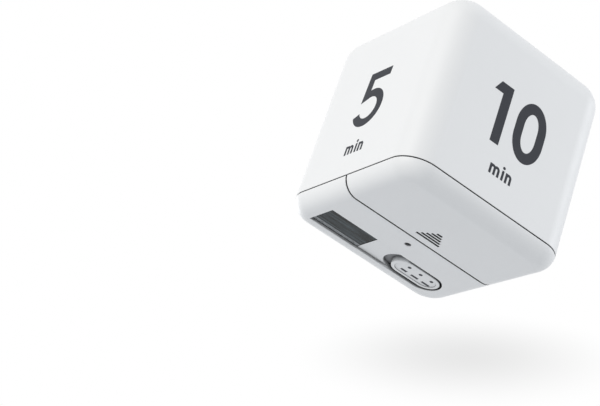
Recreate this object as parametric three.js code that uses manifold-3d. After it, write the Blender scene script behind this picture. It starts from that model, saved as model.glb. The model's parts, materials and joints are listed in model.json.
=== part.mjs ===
// Cube timer with a slide-off battery door, a display window and a slide switch in its underside.
// Millimetres, +Z up. The origin is the centre of the footprint on the surface it stands on.
// The faces run 5, 10, 30, 60 as -Y, +X, +Y, -X, and the underside is z = 0.
import * as THREE from 'three';
import { mergeVertices } from 'three/addons/utils/BufferGeometryUtils.js';
import Module from 'manifold-3d';

const wasm = await Module();
wasm.setup();

// Body, whose width follows from the cells and from the strip beside them
const bodyHeight = 62.7;
const sideRadius = 8.7;
const topRadius = 8.3;
const baseRadius = 5.5;
const seamHeight = 5.0;
const seamGap = 0.3;
const shellWall = 2.2;
const trayWall = 2.0;
const doorWall = 1.8;
const doorSeam = 0.6;
const fitGap = 0.3;
const cutOver = 1.0;

// Facets
const cornerSteps = 6;
const edgeSteps = 6;
const roundSteps = 20;
const smallRoundSteps = 14;
const fullTurn = 2 * Math.PI;
const quarterTurn = fullTurn / 4;

// Cells and their bay
const cellDiameter = 10.3;
const cellLength = 44.5;
const nubDiameter = 3.8;
const nubLength = 1.0;
const cellEdge = 0.5;
const cellSpacing = 0.4;
const cellFloorGap = 0.5;
const cellRoofGap = 0.5;
const bayWall = 1.1;
const bayRoof = 1.5;
const bayInset = 3.2;
const bayEndMargin = 3.9;
const baySideMargin = 3.5;
const contactRoom = 2.75;

// Contacts
const plateThickness = 0.4;
const plateWidth = 8.4;
const plateHeight = 9.0;
const plateCorner = 1.5;
const dimpleDiameter = 4.4;
const dimpleHeight = 0.55;
const railWidth = 1.2;
const railDepth = 0.7;
const railOverlap = 0.6;
const tailWidth = 2.2;
const tailRise = 2.2;
const springWire = 0.5;
const springTurns = 4;
const springSteps = 8;
const springSides = 5;
const springWide = 3.1;
const springNarrow = 2.0;
const springTipGap = 0.15;
const springSink = 0.2;
const leastWireGap = 0.4;

// Door guides
const shelfHeight = 3.6;
const shelfThickness = 1.1;
const partitionWall = 1.35;
const tongueWidth = 8;
const tongueThickness = 0.8;
const tongueReach = 2.6;
const tongueSpacing = 28;
const lipHeight = 0.7;
const lipReach = 0.9;
const doorRibHeight = 0.9;
const doorRibLength = 12;
const doorRibOverlap = 0.6;

// Door grip, five grooves that shorten towards the slide-off side
const gripLines = 5;
const gripFirst = 3.6;
const gripPitch = 1.34;
const gripLongest = 8.8;
const gripShortest = 2.0;
const gripDepth = 0.35;
const gripWidth = 0.6;

// Sunk channel with the display window and the switch slot in its floor
const stripInset = 12.6;
const channelWidth = 11.4;
const channelDepth = 0.9;
const sightWidth = 8.4;
const windowMargin = 6.6;
const windowLength = 17.2;
const windowPlate = 0.6;
const windowEndLedge = 0.6;
const windowToSlot = 8.2;
const slotLength = 20.8;
const slotMargin = 7.2;
const slotGap = 0.5;
const slotSideGap = 1.4;

// Spigot, hooks and pads of the base
const spigotWall = 1.4;
const spigotHeight = 7.0;
const rimFoot = 3.0;
const hookWidth = 6;
const hookSpacing = 24;
const hookTop = 9.1;
const barbFoot = 7.6;
const barbReach = 0.8;
const pocketDepth = 1.1;

// Board and what it carries
const boardThickness = 1.2;
const boardEdge = 0.6;
const boardInset = 4.2;
const padWidth = 5;
const padReach = 0.9;
const postDiameter = 4.6;
const postSetback = 5.2;
const postMargin = 8.5;
const chipDiameter = 9;
const chipHeight = 1.5;
const chipX = -12;
const chipY = -3.5;
const crystalDiameter = 2.0;
const crystalLength = 6.0;
const crystalX = -4.6;
const crystalY = -8;

// Display
const panelSideMargin = 1.3;
const panelEndMargin = 0.8;
const panelThickness = 1.8;
const frameLip = 0.3;
const frameLipReach = 0.7;
const framePocketGap = 0.2;
const frameWall = 0.85;
const stripThickness = 1.6;
const stripHeight = 2.9;
const stripEndGap = 0.4;
const frameLift = 0.3;

// Switch
const sliderRecess = 0.2;
const sliderFlange = 1.3;
const flangeReach = 1.1;
const flangeCover = 1.2;
const flangeBack = 1.6;
const flangeCorner = 3;
const sliderRim = 0.9;
const sliderDishDepth = 0.25;
const guideWall = 0.8;
const guideHeight = 1.6;
const leverSide = 1.3;
const leverSocketDepth = 1.4;
const switchTravel = 2.5;
const switchWidth = 4.4;
const switchLength = 13;
const switchDrop = 3.7;
const switchSlotDepth = 1.6;

// Sounder
const soundHole = 2.0;
const soundHoleX = -4.4;
const soundHoleY = -0.4;
const collarDiameter = 5.0;
const collarHeight = 0.7;
const buzzerDiameter = 7.8;
const buzzerX = -5.1;
const buzzerY = 0.6;
const buzzerPort = 1.8;
const buzzerPortDepth = 1.0;
const buzzerEdge = 0.4;

// Tilt switches
const canDiameter = 5.0;
const canWall = 0.4;
const canEdge = 0.3;
const capLength = 1.6;
const capRim = 0.5;
const ballDiameter = 3.6;
const ballTravel = 2.6;
const ballEndGap = 0.15;
const tiltTurns = [quarterTurn, 0];
const tiltPlaceShares = [[-0.70, -0.46], [-0.52, 0.40]];

// Screws
const screwShank = 2.2;
const screwHead = 4.2;
const screwHeadHeight = 1.4;
const headTopShare = 0.7;
const housingScrewLength = 9;
const boardScrewLength = 4;
const screwPlaceShare = 0.48;
const recessDiameter = 1.6;
const recessDepth = 0.7;
const bossDiameter = 6;
const bossHoleExtra = 1.5;
const webWall = 1.2;
const webRise = 14;

// Leads
const leadDiameter = 1.2;
const leadSides = 8;
const leadSteps = 24;

// Places that follow from the sizes
const stripRun = windowMargin + windowLength + windowToSlot + slotLength + slotMargin;
const cellRun = cellLength + 2 * (contactRoom + bayWall + bayEndMargin);
const bayRun = bayInset + 2 * (cellDiameter + fitGap) + cellSpacing + bayWall + baySideMargin;
const bodyWidth = Math.max(stripRun, cellRun, 2 * (doorSeam + bayRun));
const bodyHalf = bodyWidth / 2;
const trayTop = seamHeight - seamGap / 2;
const shellFoot = seamHeight + seamGap / 2;
const cellRadius = cellDiameter / 2;
const cellAxis = doorWall + cellFloorGap + cellRadius;
const bayLow = doorSeam + bayInset;
const cellAX = bayLow + fitGap + cellRadius;
const cellBX = cellAX + cellDiameter + cellSpacing;
const bayHigh = cellBX + cellRadius + fitGap;
const bayHalf = cellLength / 2 + contactRoom;
const roofUnder = cellAxis + cellRadius + cellRoofGap;
const roofTop = roofUnder + bayRoof;
const plateFace = bayHalf - plateThickness;
const nubEnd = plateFace - dimpleHeight;
const trayEdge = doorSeam - seamGap / 2;
const doorEdge = doorSeam + seamGap / 2;
const frameFoot = trayWall + frameLift;
const panelFoot = frameFoot + frameLip;
const panelTop = panelFoot + panelThickness;
const boardUnderside = panelTop + stripHeight;
const boardTop = boardUnderside + boardThickness;
const screwX = (cellAX + cellBX) / 2;
const screwY = bayHalf * screwPlaceShare;
const stripCentre = -bodyHalf + stripInset;
const slotEnd = bodyHalf - slotMargin;
const slotStart = slotEnd - slotLength;
const sliderLength = slotLength - switchTravel - 2 * slotGap;
const sliderRest = slotEnd - slotGap - sliderLength / 2;
const windowCentre = -bodyHalf + windowMargin + windowLength / 2;
const panelWidth = sightWidth + 2 * panelSideMargin;
const panelLength = windowLength + 2 * panelEndMargin;
const postY = bodyHalf - postMargin;
const partitionLow = trayEdge - partitionWall;
const postX = partitionLow - postSetback + postDiameter / 2;
const insideDoor = doorWall + fitGap;
const spigotInset = shellWall + fitGap;
const beyond = [-bodyWidth, bodyWidth];

// Geometry helpers
function solidOf(geometry) {
  geometry.deleteAttribute('normal');
  geometry.deleteAttribute('uv');
  const merged = mergeVertices(geometry);
  const mesh = new wasm.Mesh({
    numProp: 3,
    vertProperties: new Float32Array(merged.attributes.position.array),
    triVerts: new Uint32Array(merged.index.array),
  });
  return new wasm.Manifold(mesh);
}

function geometryOf(solid) {
  const mesh = solid.getMesh();
  const geometry = new THREE.BufferGeometry();
  geometry.setAttribute('position', new THREE.BufferAttribute(new Float32Array(mesh.vertProperties), 3));
  geometry.setIndex(new THREE.BufferAttribute(new Uint32Array(mesh.triVerts), 1));
  geometry.computeVertexNormals();
  return geometry;
}

function span(first, second) {
  return [Math.min(first, second), Math.max(first, second)];
}

function around(centre, width) {
  return [centre - width / 2, centre + width / 2];
}

function box(x, y, z) {
  const geometry = new THREE.BoxGeometry(x[1] - x[0], y[1] - y[0], z[1] - z[0]);
  geometry.translate((x[0] + x[1]) / 2, (y[0] + y[1]) / 2, (z[0] + z[1]) / 2);
  return solidOf(geometry);
}

function prism(shape, low, high, steps = cornerSteps) {
  const options = { depth: high - low, bevelEnabled: false, curveSegments: steps };
  const geometry = new THREE.ExtrudeGeometry(shape, options);
  geometry.translate(0, 0, low);
  return solidOf(geometry);
}

// A turned piece about Z from [radius, height] pairs, listed from low to high
function turned(pairs, steps = roundSteps) {
  const profile = pairs.map(([radius, height]) => new THREE.Vector2(radius, height));
  const geometry = new THREE.LatheGeometry(profile, steps);
  geometry.rotateX(quarterTurn);
  return solidOf(geometry);
}

function drum(diameter, low, high, steps = roundSteps) {
  return turned([[0, low], [diameter / 2, low], [diameter / 2, high], [0, high]], steps);
}

function roundedRect(width, length, radius, centreX = 0, centreY = 0) {
  const x = width / 2;
  const y = length / 2;
  const shape = new THREE.Shape();
  shape.absarc(centreX + x - radius, centreY + y - radius, radius, 0, quarterTurn);
  shape.absarc(centreX - x + radius, centreY + y - radius, radius, quarterTurn, 2 * quarterTurn);
  shape.absarc(centreX - x + radius, centreY - y + radius, radius, 2 * quarterTurn, 3 * quarterTurn);
  shape.absarc(centreX + x - radius, centreY - y + radius, radius, 3 * quarterTurn, fullTurn);
  return shape;
}

function polygon(points) {
  return new THREE.Shape(points.map(([x, y]) => new THREE.Vector2(x, y)));
}

// Closes a stack of rings with equal counts into one solid
function loft(rings) {
  const count = rings[0].length;
  const positions = rings.flat().flatMap((point) => [point.x, point.y, point.z]);
  const index = [];
  for (let ring = 0; ring + 1 < rings.length; ring += 1) {
    for (let i = 0; i < count; i += 1) {
      const next = (i + 1) % count;
      const a = ring * count + i;
      const b = ring * count + next;
      index.push(a, b, b + count, a, b + count, a + count);
    }
  }
  const top = (rings.length - 1) * count;
  for (let i = 1; i + 1 < count; i += 1) {
    index.push(0, i + 1, i, top, top + i, top + i + 1);
  }
  const geometry = new THREE.BufferGeometry();
  geometry.setAttribute('position', new THREE.Float32BufferAttribute(positions, 3));
  geometry.setIndex(index);
  return solidOf(geometry);
}

function squareRing(half, radius, height) {
  const ring = [];
  for (let corner = 0; corner < 4; corner += 1) {
    const turn = corner * quarterTurn;
    const signX = Math.sign(Math.cos(turn + quarterTurn / 2));
    const signY = Math.sign(Math.sin(turn + quarterTurn / 2));
    for (let i = 0; i <= cornerSteps; i += 1) {
      const angle = turn + (i / cornerSteps) * quarterTurn;
      const x = signX * (half - radius) + radius * Math.cos(angle);
      const y = signY * (half - radius) + radius * Math.sin(angle);
      ring.push(new THREE.Vector3(x, y, height));
    }
  }
  return ring;
}

// The body's outer form, moved inward by an inset
function bodySkin(inset) {
  const half = bodyHalf - inset;
  const corner = sideRadius - inset;
  const lower = baseRadius - inset;
  const upper = topRadius - inset;
  const rings = [];
  for (let i = 0; i <= edgeSteps; i += 1) {
    const angle = (i / edgeSteps) * quarterTurn;
    const setback = lower * (1 - Math.sin(angle));
    rings.push(squareRing(half - setback, corner - setback, inset + lower * (1 - Math.cos(angle))));
  }
  for (let i = 0; i <= edgeSteps; i += 1) {
    const angle = (i / edgeSteps) * quarterTurn;
    const setback = upper * (1 - Math.cos(angle));
    const height = bodyHeight - inset - upper * (1 - Math.sin(angle));
    rings.push(squareRing(half - setback, corner - setback, height));
  }
  return loft(rings);
}

// A straight column of the body's plan, moved inward by an inset
function bodyColumn(inset, low, high) {
  const half = bodyHalf - inset;
  const corner = sideRadius - inset;
  return loft([squareRing(half, corner, low), squareRing(half, corner, high)]);
}

function wide(low, high) {
  return box(beyond, beyond, [low, high]);
}

function piece(name, solid, look, position = [0, 0, 0], turn = [0, 0, 0]) {
  const mesh = new THREE.Mesh(geometryOf(solid), new THREE.MeshStandardMaterial(look));
  mesh.name = name;
  mesh.position.set(...position);
  mesh.rotation.set(...turn);
  return mesh;
}

// Looks
const whiteShell = { color: 0xeeeff1, roughness: 0.45, metalness: 0 };
const clearPlate = { color: 0x4b4f51, roughness: 0.12, metalness: 0, transparent: true, opacity: 0.6 };
const displayGlass = { color: 0x5b615f, roughness: 0.2, metalness: 0 };
const blackPlastic = { color: 0x1c1d1f, roughness: 0.5, metalness: 0 };
const greyRubber = { color: 0x8f9296, roughness: 0.8, metalness: 0 };
const boardGreen = { color: 0x2d6b45, roughness: 0.5, metalness: 0 };
const nickel = { color: 0xc9cbcc, roughness: 0.3, metalness: 1 };
const cellSleeve = { color: 0x3f5f8f, roughness: 0.35, metalness: 0.2 };
const redWire = { color: 0xb3282a, roughness: 0.5, metalness: 0 };
const blackWire = { color: 0x202124, roughness: 0.5, metalness: 0 };

// Upper housing: a five-sided shell with two screw bosses, their webs and two hook pockets
function upperHousing() {
  const outside = bodySkin(0).intersect(wide(shellFoot, bodyHeight + cutOver));
  const hollow = bodySkin(shellWall).add(bodyColumn(shellWall, -cutOver, baseRadius));
  let shell = outside.subtract(hollow);
  const innerTop = bodyHeight - shellWall / 2;
  const innerSide = bodyHalf - shellWall / 2;
  for (const side of [-1, 1]) {
    const y = side * screwY;
    const boss = drum(bossDiameter, roofTop, innerTop).translate(screwX, y, 0);
    const web = polygon([
      [screwX, roofTop + webWall],
      [screwX, innerTop],
      [innerSide, innerTop],
      [innerSide, roofTop + webRise],
    ]);
    const upright = prism(web, -webWall / 2, webWall / 2).rotate(90, 0, 0).translate(0, y, 0);
    const plate = upright.intersect(bodySkin(shellWall / 2));
    const bore = drum(screwShank + 2 * fitGap, -cutOver, housingScrewLength + bossHoleExtra);
    shell = shell.add(boss).add(plate).subtract(bore.translate(screwX, y, roofTop - bayRoof));
    const pocketX = [-bodyHalf + shellWall - pocketDepth, -bodyHalf + shellWall + cutOver];
    const pocketY = around((side * hookSpacing) / 2, hookWidth + 2 * fitGap);
    shell = shell.subtract(box(pocketX, pocketY, [barbFoot, hookTop + fitGap]));
  }
  return shell;
}

// Base: the tray under the strip, the spigot inside the housing and the battery bay
function trayShell() {
  const slab = bodySkin(0).intersect(wide(-cutOver, trayTop));
  const strip = box([-bodyWidth, trayEdge], beyond, [-cutOver, spigotHeight]);
  const hollow = bodySkin(trayWall).subtract(wide(-cutOver, 0));
  const tray = slab.intersect(strip).subtract(hollow);
  const rim = slab.intersect(strip).intersect(wide(rimFoot, trayTop));
  const spigot = bodyColumn(spigotInset, trayTop - fitGap, spigotHeight).intersect(strip);
  const inside = bodyColumn(spigotInset + spigotWall, rimFoot - cutOver / 2, spigotHeight + cutOver);
  const ring = rim.add(spigot).subtract(inside);
  const partition = slab.intersect(box([partitionLow, trayEdge], beyond, [0, shelfHeight + shelfThickness]));
  return tray.add(ring).add(partition);
}

// Holds one upright edge of a contact plate: a rail in front of it and a cheek beside it
function plateRail(cellX, edge, side) {
  const inner = cellX + edge * (plateWidth / 2 - railOverlap);
  const beside = cellX + edge * (plateWidth / 2 + fitGap);
  const outer = inner + edge * railWidth;
  const front = plateFace - fitGap - railDepth;
  const height = [cellAxis, roofUnder + bayRoof / 2];
  const rail = box(span(inner, outer), span(side * front, side * (plateFace - fitGap)), height);
  return rail.add(box(span(beside, outer), span(side * front, side * (bayHalf + bayWall / 2)), height));
}

function batteryBay() {
  const endOuter = bayHalf + bayWall;
  const outer = box([bayLow - bayWall, bayHigh + bayWall], [-endOuter, endOuter], [0, roofTop]);
  const room = box([bayLow, bayHigh], [-bayHalf, bayHalf], [-cutOver, roofUnder]);
  const shelfZ = [shelfHeight, shelfHeight + shelfThickness];
  const shelf = box([partitionLow, bayLow], [-endOuter, endOuter], shelfZ);
  let bay = outer.add(shelf).subtract(room);
  for (const side of [-1, 1]) {
    const lipY = span(side * (endOuter - bayWall / 2), side * (endOuter + lipReach));
    bay = bay.add(box([bayLow, bayHigh], lipY, [shelfHeight - lipHeight, shelfHeight]));
    for (const cellX of [cellAX, cellBX]) {
      const outward = Math.sign(cellX - screwX);
      const edges = side < 0 ? [outward] : [-1, 1];
      for (const edge of edges) {
        bay = bay.add(plateRail(cellX, edge, side));
      }
    }
  }
  for (const cellX of [cellAX, cellBX]) {
    const holeX = around(cellX, tailWidth + 2 * fitGap);
    bay = bay.subtract(box(holeX, [plateFace - fitGap, bayHalf], [roofUnder - cutOver, roofTop + cutOver]));
  }
  for (const side of [-1, 1]) {
    const hole = drum(screwShank + 2 * fitGap, roofUnder - cutOver, roofTop + cutOver);
    bay = bay.subtract(hole.translate(screwX, side * screwY, 0));
  }
  return bay.intersect(bodySkin(insideDoor)).intersect(bodyColumn(spigotInset, 0, bodyHeight));
}

function basePlate() {
  let base = trayShell().add(batteryBay());
  for (const side of [-1, 1]) {
    const hookY = around((side * hookSpacing) / 2, hookWidth);
    const armOuter = -bodyHalf + spigotInset;
    base = base.add(box([armOuter, armOuter + spigotWall], hookY, [trayTop, hookTop]));
    base = base.add(box([armOuter - barbReach, armOuter + spigotWall / 2], hookY, [barbFoot, hookTop]));
    const post = drum(postDiameter, trayWall / 2, boardUnderside).translate(postX, side * postY, 0);
    const bore = drum(screwShank + 2 * fitGap, trayWall, boardUnderside + cutOver);
    base = base.add(post).subtract(bore.translate(postX, side * postY, 0));
    const slotX = [doorEdge - tongueReach - fitGap, trayEdge + cutOver];
    const slotY = around((side * tongueSpacing) / 2, tongueWidth + 2 * fitGap);
    const slotZ = [doorWall - tongueThickness - fitGap, doorWall + fitGap];
    base = base.subtract(box(slotX, slotY, slotZ));
    const guideX = stripCentre + side * (channelWidth / 2 + flangeReach + fitGap + guideWall / 2);
    const guideY = [slotStart - flangeCover, slotEnd];
    base = base.add(box(around(guideX, guideWall), guideY, [trayWall / 2, trayWall + guideHeight]));
  }
  const padX = -bodyHalf + spigotInset + spigotWall / 2;
  const padEnd = padX + spigotWall / 2 + padReach;
  base = base.add(box([padX, padEnd], around(0, padWidth), [trayTop, boardUnderside]));
  const collar = drum(collarDiameter, trayWall / 2, trayWall + collarHeight);
  const soundBore = drum(soundHole, -cutOver, trayWall + collarHeight + cutOver, smallRoundSteps);
  base = base.add(collar.translate(soundHoleX, soundHoleY, 0));
  base = base.subtract(soundBore.translate(soundHoleX, soundHoleY, 0));
  const sightX = around(stripCentre, sightWidth);
  const sightY = around(windowCentre, windowLength);
  base = base.subtract(box(sightX, sightY, [-cutOver, trayWall + cutOver]));
  const channelX = around(stripCentre, channelWidth);
  const pocketY = around(windowCentre, windowLength + 2 * (windowEndLedge + fitGap));
  base = base.subtract(box(channelX, pocketY, [-cutOver, channelDepth + windowPlate]));
  const slotMiddle = slotStart + slotLength / 2;
  base = base.subtract(box(channelX, [pocketY[0], slotMiddle], [-cutOver, channelDepth]));
  const slotShape = roundedRect(channelWidth, slotLength, channelWidth / 2, stripCentre, slotMiddle);
  return base.subtract(prism(slotShape, -cutOver, trayWall + cutOver, 2 * cornerSteps));
}

// Battery door: wraps three lower edges, with tongues, side ribs and the grip
function batteryDoor() {
  const half = box([doorEdge, bodyWidth], beyond, [-cutOver, trayTop]);
  let door = bodySkin(0).intersect(half).subtract(bodySkin(doorWall));
  for (const side of [-1, 1]) {
    const tongueY = around((side * tongueSpacing) / 2, tongueWidth);
    const tongue = box(around(doorEdge, 2 * tongueReach), tongueY, [doorWall - tongueThickness, doorWall]);
    const ribInner = bayHalf + bayWall + lipReach - doorRibOverlap;
    const ribY = span(side * ribInner, side * bodyWidth);
    const ribZ = [shelfHeight, shelfHeight + doorRibHeight];
    const rib = box(around(screwX, doorRibLength), ribY, ribZ).intersect(bodySkin(doorWall / 2));
    door = door.add(tongue).add(rib);
  }
  for (let line = 0; line < gripLines; line += 1) {
    const length = gripLongest - ((gripLongest - gripShortest) * line) / (gripLines - 1);
    const x = doorSeam + gripFirst + line * gripPitch;
    door = door.subtract(box(around(x, gripWidth), around(0, length), [-cutOver, gripDepth]));
  }
  return door;
}

function displayWindow() {
  const length = windowLength + 2 * windowEndLedge;
  return box(around(0, channelWidth - 2 * fitGap), around(0, length), [0, windowPlate]);
}

function displayPanel() {
  return box(around(0, panelWidth), around(0, panelLength), [0, panelThickness]);
}

function displayFrame() {
  const block = (extra, low, high) =>
    box(around(0, panelWidth + 2 * extra), around(0, panelLength + 2 * extra), [low, high]);
  const outer = block(framePocketGap + frameWall, frameFoot, boardUnderside);
  const pocket = block(framePocketGap, panelFoot, boardUnderside + cutOver);
  const sight = block(-frameLipReach, 0, boardUnderside);
  const clear = bodyColumn(boardInset, 0, bodyHeight).intersect(bodySkin(trayWall + fitGap));
  return outer.subtract(pocket).subtract(sight).intersect(clear.translate(-stripCentre, -windowCentre, 0));
}

function displayStrip() {
  return box(around(0, stripThickness), around(0, panelLength - 2 * stripEndGap), [0, stripHeight]);
}

function mainBoard() {
  const edge = bayLow - bayWall - boardEdge;
  const side = box([-bodyWidth, edge], beyond, [0, boardTop + cutOver]);
  let board = bodyColumn(boardInset, boardUnderside, boardTop).intersect(side);
  const notchX = [-bodyWidth, -bodyHalf + spigotInset + spigotWall + fitGap];
  for (const end of [-1, 1]) {
    const hole = drum(screwShank + 2 * fitGap, boardUnderside - cutOver, boardTop + cutOver);
    const notchY = around((end * hookSpacing) / 2, hookWidth + 2 * fitGap);
    board = board.subtract(hole.translate(postX, end * postY, 0));
    board = board.subtract(box(notchX, notchY, [0, boardTop + cutOver]));
  }
  return board;
}

function clockChip() {
  const pairs = [[0, 0]];
  for (let i = 0; i <= edgeSteps; i += 1) {
    const angle = (i / edgeSteps) * quarterTurn;
    pairs.push([(chipDiameter / 2) * Math.cos(angle), chipHeight * Math.sin(angle)]);
  }
  return turned(pairs);
}

function clockCrystal() {
  return drum(crystalDiameter, -crystalLength / 2, crystalLength / 2, smallRoundSteps);
}

// A turned piece laid down with a flat facet under it
function layDown(solid, steps) {
  return solid.rotate(0, 0, 180 / steps);
}

function buzzer() {
  const radius = buzzerDiameter / 2;
  const low = trayWall + collarHeight + fitGap;
  const can = turned([
    [0, low],
    [radius - buzzerEdge, low],
    [radius, low + buzzerEdge],
    [radius, boardUnderside],
    [0, boardUnderside],
  ]);
  return can.subtract(drum(buzzerPort, low - cutOver, low + buzzerPortDepth, smallRoundSteps));
}

function switchBody() {
  const low = boardUnderside - switchDrop;
  const can = box(around(0, switchWidth), around(0, switchLength), [low, boardUnderside]);
  const slotX = around(0, leverSide + 2 * fitGap);
  const slotY = around(0, switchTravel + leverSide + 2 * fitGap);
  return can.subtract(box(slotX, slotY, [low - cutOver, low + switchSlotDepth]));
}

const socketFoot = trayWall + sliderFlange - leverSocketDepth;

function switchLever() {
  const top = boardUnderside - switchDrop + switchSlotDepth - fitGap;
  return box(around(0, leverSide), around(0, leverSide), [socketFoot, top]);
}

function switchSlider() {
  const knobWidth = channelWidth - 2 * slotSideGap;
  const knobShape = roundedRect(knobWidth, sliderLength, knobWidth / 2);
  const knob = prism(knobShape, sliderRecess, trayWall + sliderFlange / 2, 2 * cornerSteps);
  const flangeWidth = channelWidth + 2 * flangeReach;
  const flangeLength = sliderLength + switchTravel + flangeCover + flangeBack;
  const flangeMiddle = (flangeBack - switchTravel - flangeCover) / 2;
  const flangeShape = roundedRect(flangeWidth, flangeLength, flangeCorner, 0, flangeMiddle);
  const flange = prism(flangeShape, trayWall, trayWall + sliderFlange);
  const dishWidth = knobWidth - 2 * sliderRim;
  const dish = roundedRect(dishWidth, sliderLength - 2 * sliderRim, dishWidth / 2);
  const hollow = prism(dish, -cutOver, sliderRecess + sliderDishDepth, 2 * cornerSteps);
  const socketX = around(0, leverSide + 2 * fitGap);
  const socket = box(socketX, around(0, leverSide), [socketFoot, trayWall + sliderFlange + cutOver]);
  return knob.add(flange).subtract(hollow).subtract(socket);
}

// Tilt switches: a drawn can, its moulded cap and a loose ball
const canBore = canDiameter - 2 * canWall;
const canLength = canWall + 2 * ballEndGap + ballDiameter + ballTravel + capLength;

function tiltCan() {
  const radius = canDiameter / 2;
  const profile = [
    [0, 0],
    [radius - canEdge, 0],
    [radius, canEdge],
    [radius, canLength],
    [canBore / 2, canLength],
    [canBore / 2, canWall],
    [0, canWall],
  ];
  return layDown(turned(profile), roundSteps);
}

function tiltCap() {
  const rim = drum(canDiameter, canLength, canLength + capRim);
  const plug = drum(canBore - 2 * capRim, canLength - capLength, canLength);
  return layDown(rim.add(plug), roundSteps);
}

function tiltBall() {
  return solidOf(new THREE.SphereGeometry(ballDiameter / 2, smallRoundSteps, smallRoundSteps / 2));
}

// Cell: sleeve with a rounded rim and the nub on +Z, base at z = 0
function cell() {
  const body = cellLength - nubLength;
  return turned([
    [0, 0],
    [cellRadius - cellEdge, 0],
    [cellRadius, cellEdge],
    [cellRadius, body - cellEdge],
    [cellRadius - cellEdge, body],
    [nubDiameter / 2, body],
    [nubDiameter / 2, cellLength],
    [0, cellLength],
  ]);
}

// Contacts are made with the plate's back at y = 0 and the cell on -Y
function contactPlate(centres) {
  const half = plateWidth / 2;
  const low = Math.min(...centres) - half;
  const high = Math.max(...centres) + half;
  const c = plateCorner;
  const outline = polygon([
    [low + c, -plateHeight / 2],
    [high - c, -plateHeight / 2],
    [high, -plateHeight / 2 + c],
    [high, plateHeight / 2 - c],
    [high - c, plateHeight / 2],
    [low + c, plateHeight / 2],
    [low, plateHeight / 2 - c],
    [low, -plateHeight / 2 + c],
  ]);
  return prism(outline, 0, plateThickness).rotate(90, 0, 0);
}

function dimple(x) {
  const high = plateThickness + dimpleHeight;
  return drum(dimpleDiameter, plateThickness / 2, high, smallRoundSteps).rotate(90, 0, 0).translate(x, 0, 0);
}

// Conical coil along +Z from its wide end, one unbroken tube
function coil(length) {
  const wire = springWire / 2;
  const steps = springTurns * springSteps;
  const points = [];
  for (let i = 0; i <= steps; i += 1) {
    const share = i / steps;
    const angle = share * springTurns * fullTurn;
    const radius = springWide + (springNarrow - springWide) * share;
    const height = wire + (length - 2 * wire) * share;
    points.push(new THREE.Vector3(radius * Math.cos(angle), radius * Math.sin(angle), height));
  }
  let least = Infinity;
  for (let i = 0; i <= steps; i += 1) {
    for (let j = i + springSteps / 2; j <= steps; j += 1) {
      least = Math.min(least, points[i].distanceTo(points[j]) - springWire);
    }
  }
  console.log(`battery spring, least gap to itself ${least.toFixed(2)} mm, wanted over ${leastWireGap} mm`);
  const rings = points.map((point, i) => {
    const angle = (i / steps) * springTurns * fullTurn;
    const out = new THREE.Vector3(Math.cos(angle), Math.sin(angle), 0);
    const ring = [];
    for (let side = 0; side < springSides; side += 1) {
      const turn = (side / springSides) * fullTurn;
      const offset = out.clone().multiplyScalar(wire * Math.cos(turn));
      offset.z = -wire * Math.sin(turn);
      ring.push(point.clone().add(offset));
    }
    return ring;
  });
  return loft(rings);
}

const springLength = 2 * bayHalf - plateThickness - dimpleHeight - plateThickness - cellLength - springTipGap;

function spring(x) {
  const wound = coil(springLength + springSink);
  return wound.rotate(90, 0, 0).translate(x, -plateThickness + springSink, 0);
}

function tail(x) {
  return box(around(x, tailWidth), [-plateThickness, 0], [0, roofTop + tailRise - cellAxis]);
}

// Battery leads, round tubes along a smooth route
function lead(points) {
  const places = points.map((point) => new THREE.Vector3(...point));
  const route = new THREE.CatmullRomCurve3(places, false, 'centripetal');
  const circle = new THREE.Shape();
  circle.absarc(0, 0, leadDiameter / 2, 0, fullTurn);
  const options = { steps: leadSteps, curveSegments: leadSides, bevelEnabled: false, extrudePath: route };
  return solidOf(new THREE.ExtrudeGeometry(circle, options));
}

const leadHeight = roofTop + fitGap + leadDiameter / 2;
const leadLanding = partitionLow - leadDiameter;

function leadRoute(startX, bendShare, landY) {
  const start = plateFace;
  const bendY = start - bendShare * contactRoom;
  const over = bayLow - bayWall;
  return [
    [startX, start, leadHeight],
    [startX, start - leadDiameter, leadHeight],
    [startX - leadDiameter, bendY, leadHeight],
    [(startX + over) / 2, (bendY + landY) / 2, leadHeight],
    [over, landY, leadHeight],
    [leadLanding, landY, (leadHeight + boardTop) / 2],
    [leadLanding, landY, boardTop + leadDiameter],
    [leadLanding, landY, boardTop],
  ];
}

// A pan-head screw with its head's seat at z = 0 and its shank on -Z
function panScrew(length) {
  const head = screwHead / 2;
  const shank = screwShank / 2;
  const screw = turned([
    [0, -length],
    [shank / 2, -length],
    [shank, -length + shank],
    [shank, 0],
    [head, 0],
    [head, screwHeadHeight / 2],
    [head * headTopShare, screwHeadHeight],
    [0, screwHeadHeight],
  ], smallRoundSteps);
  const long = around(0, recessDiameter);
  const short = around(0, recessDiameter / 3);
  const depth = [screwHeadHeight - recessDepth, screwHeadHeight + cutOver];
  const cross = box(long, short, depth).add(box(short, long, depth));
  return screw.subtract(cross);
}

// Assembly
const timer = new THREE.Group();
timer.name = 'cube_timer';

timer.add(piece('upper_housing', upperHousing(), whiteShell));
timer.add(piece('base_plate', basePlate(), whiteShell));
timer.add(piece('battery_door', batteryDoor(), whiteShell));
timer.add(piece('display_window', displayWindow(), clearPlate, [stripCentre, windowCentre, channelDepth]));

timer.add(piece('display_panel', displayPanel(), displayGlass, [stripCentre, windowCentre, panelFoot]));
timer.add(piece('display_frame', displayFrame(), blackPlastic, [stripCentre, windowCentre, 0]));
for (const [label, side] of [['a', -1], ['b', 1]]) {
  const x = stripCentre + (side * (panelWidth - stripThickness)) / 2;
  timer.add(piece(`display_strip_${label}`, displayStrip(), greyRubber, [x, windowCentre, panelTop]));
}

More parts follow.
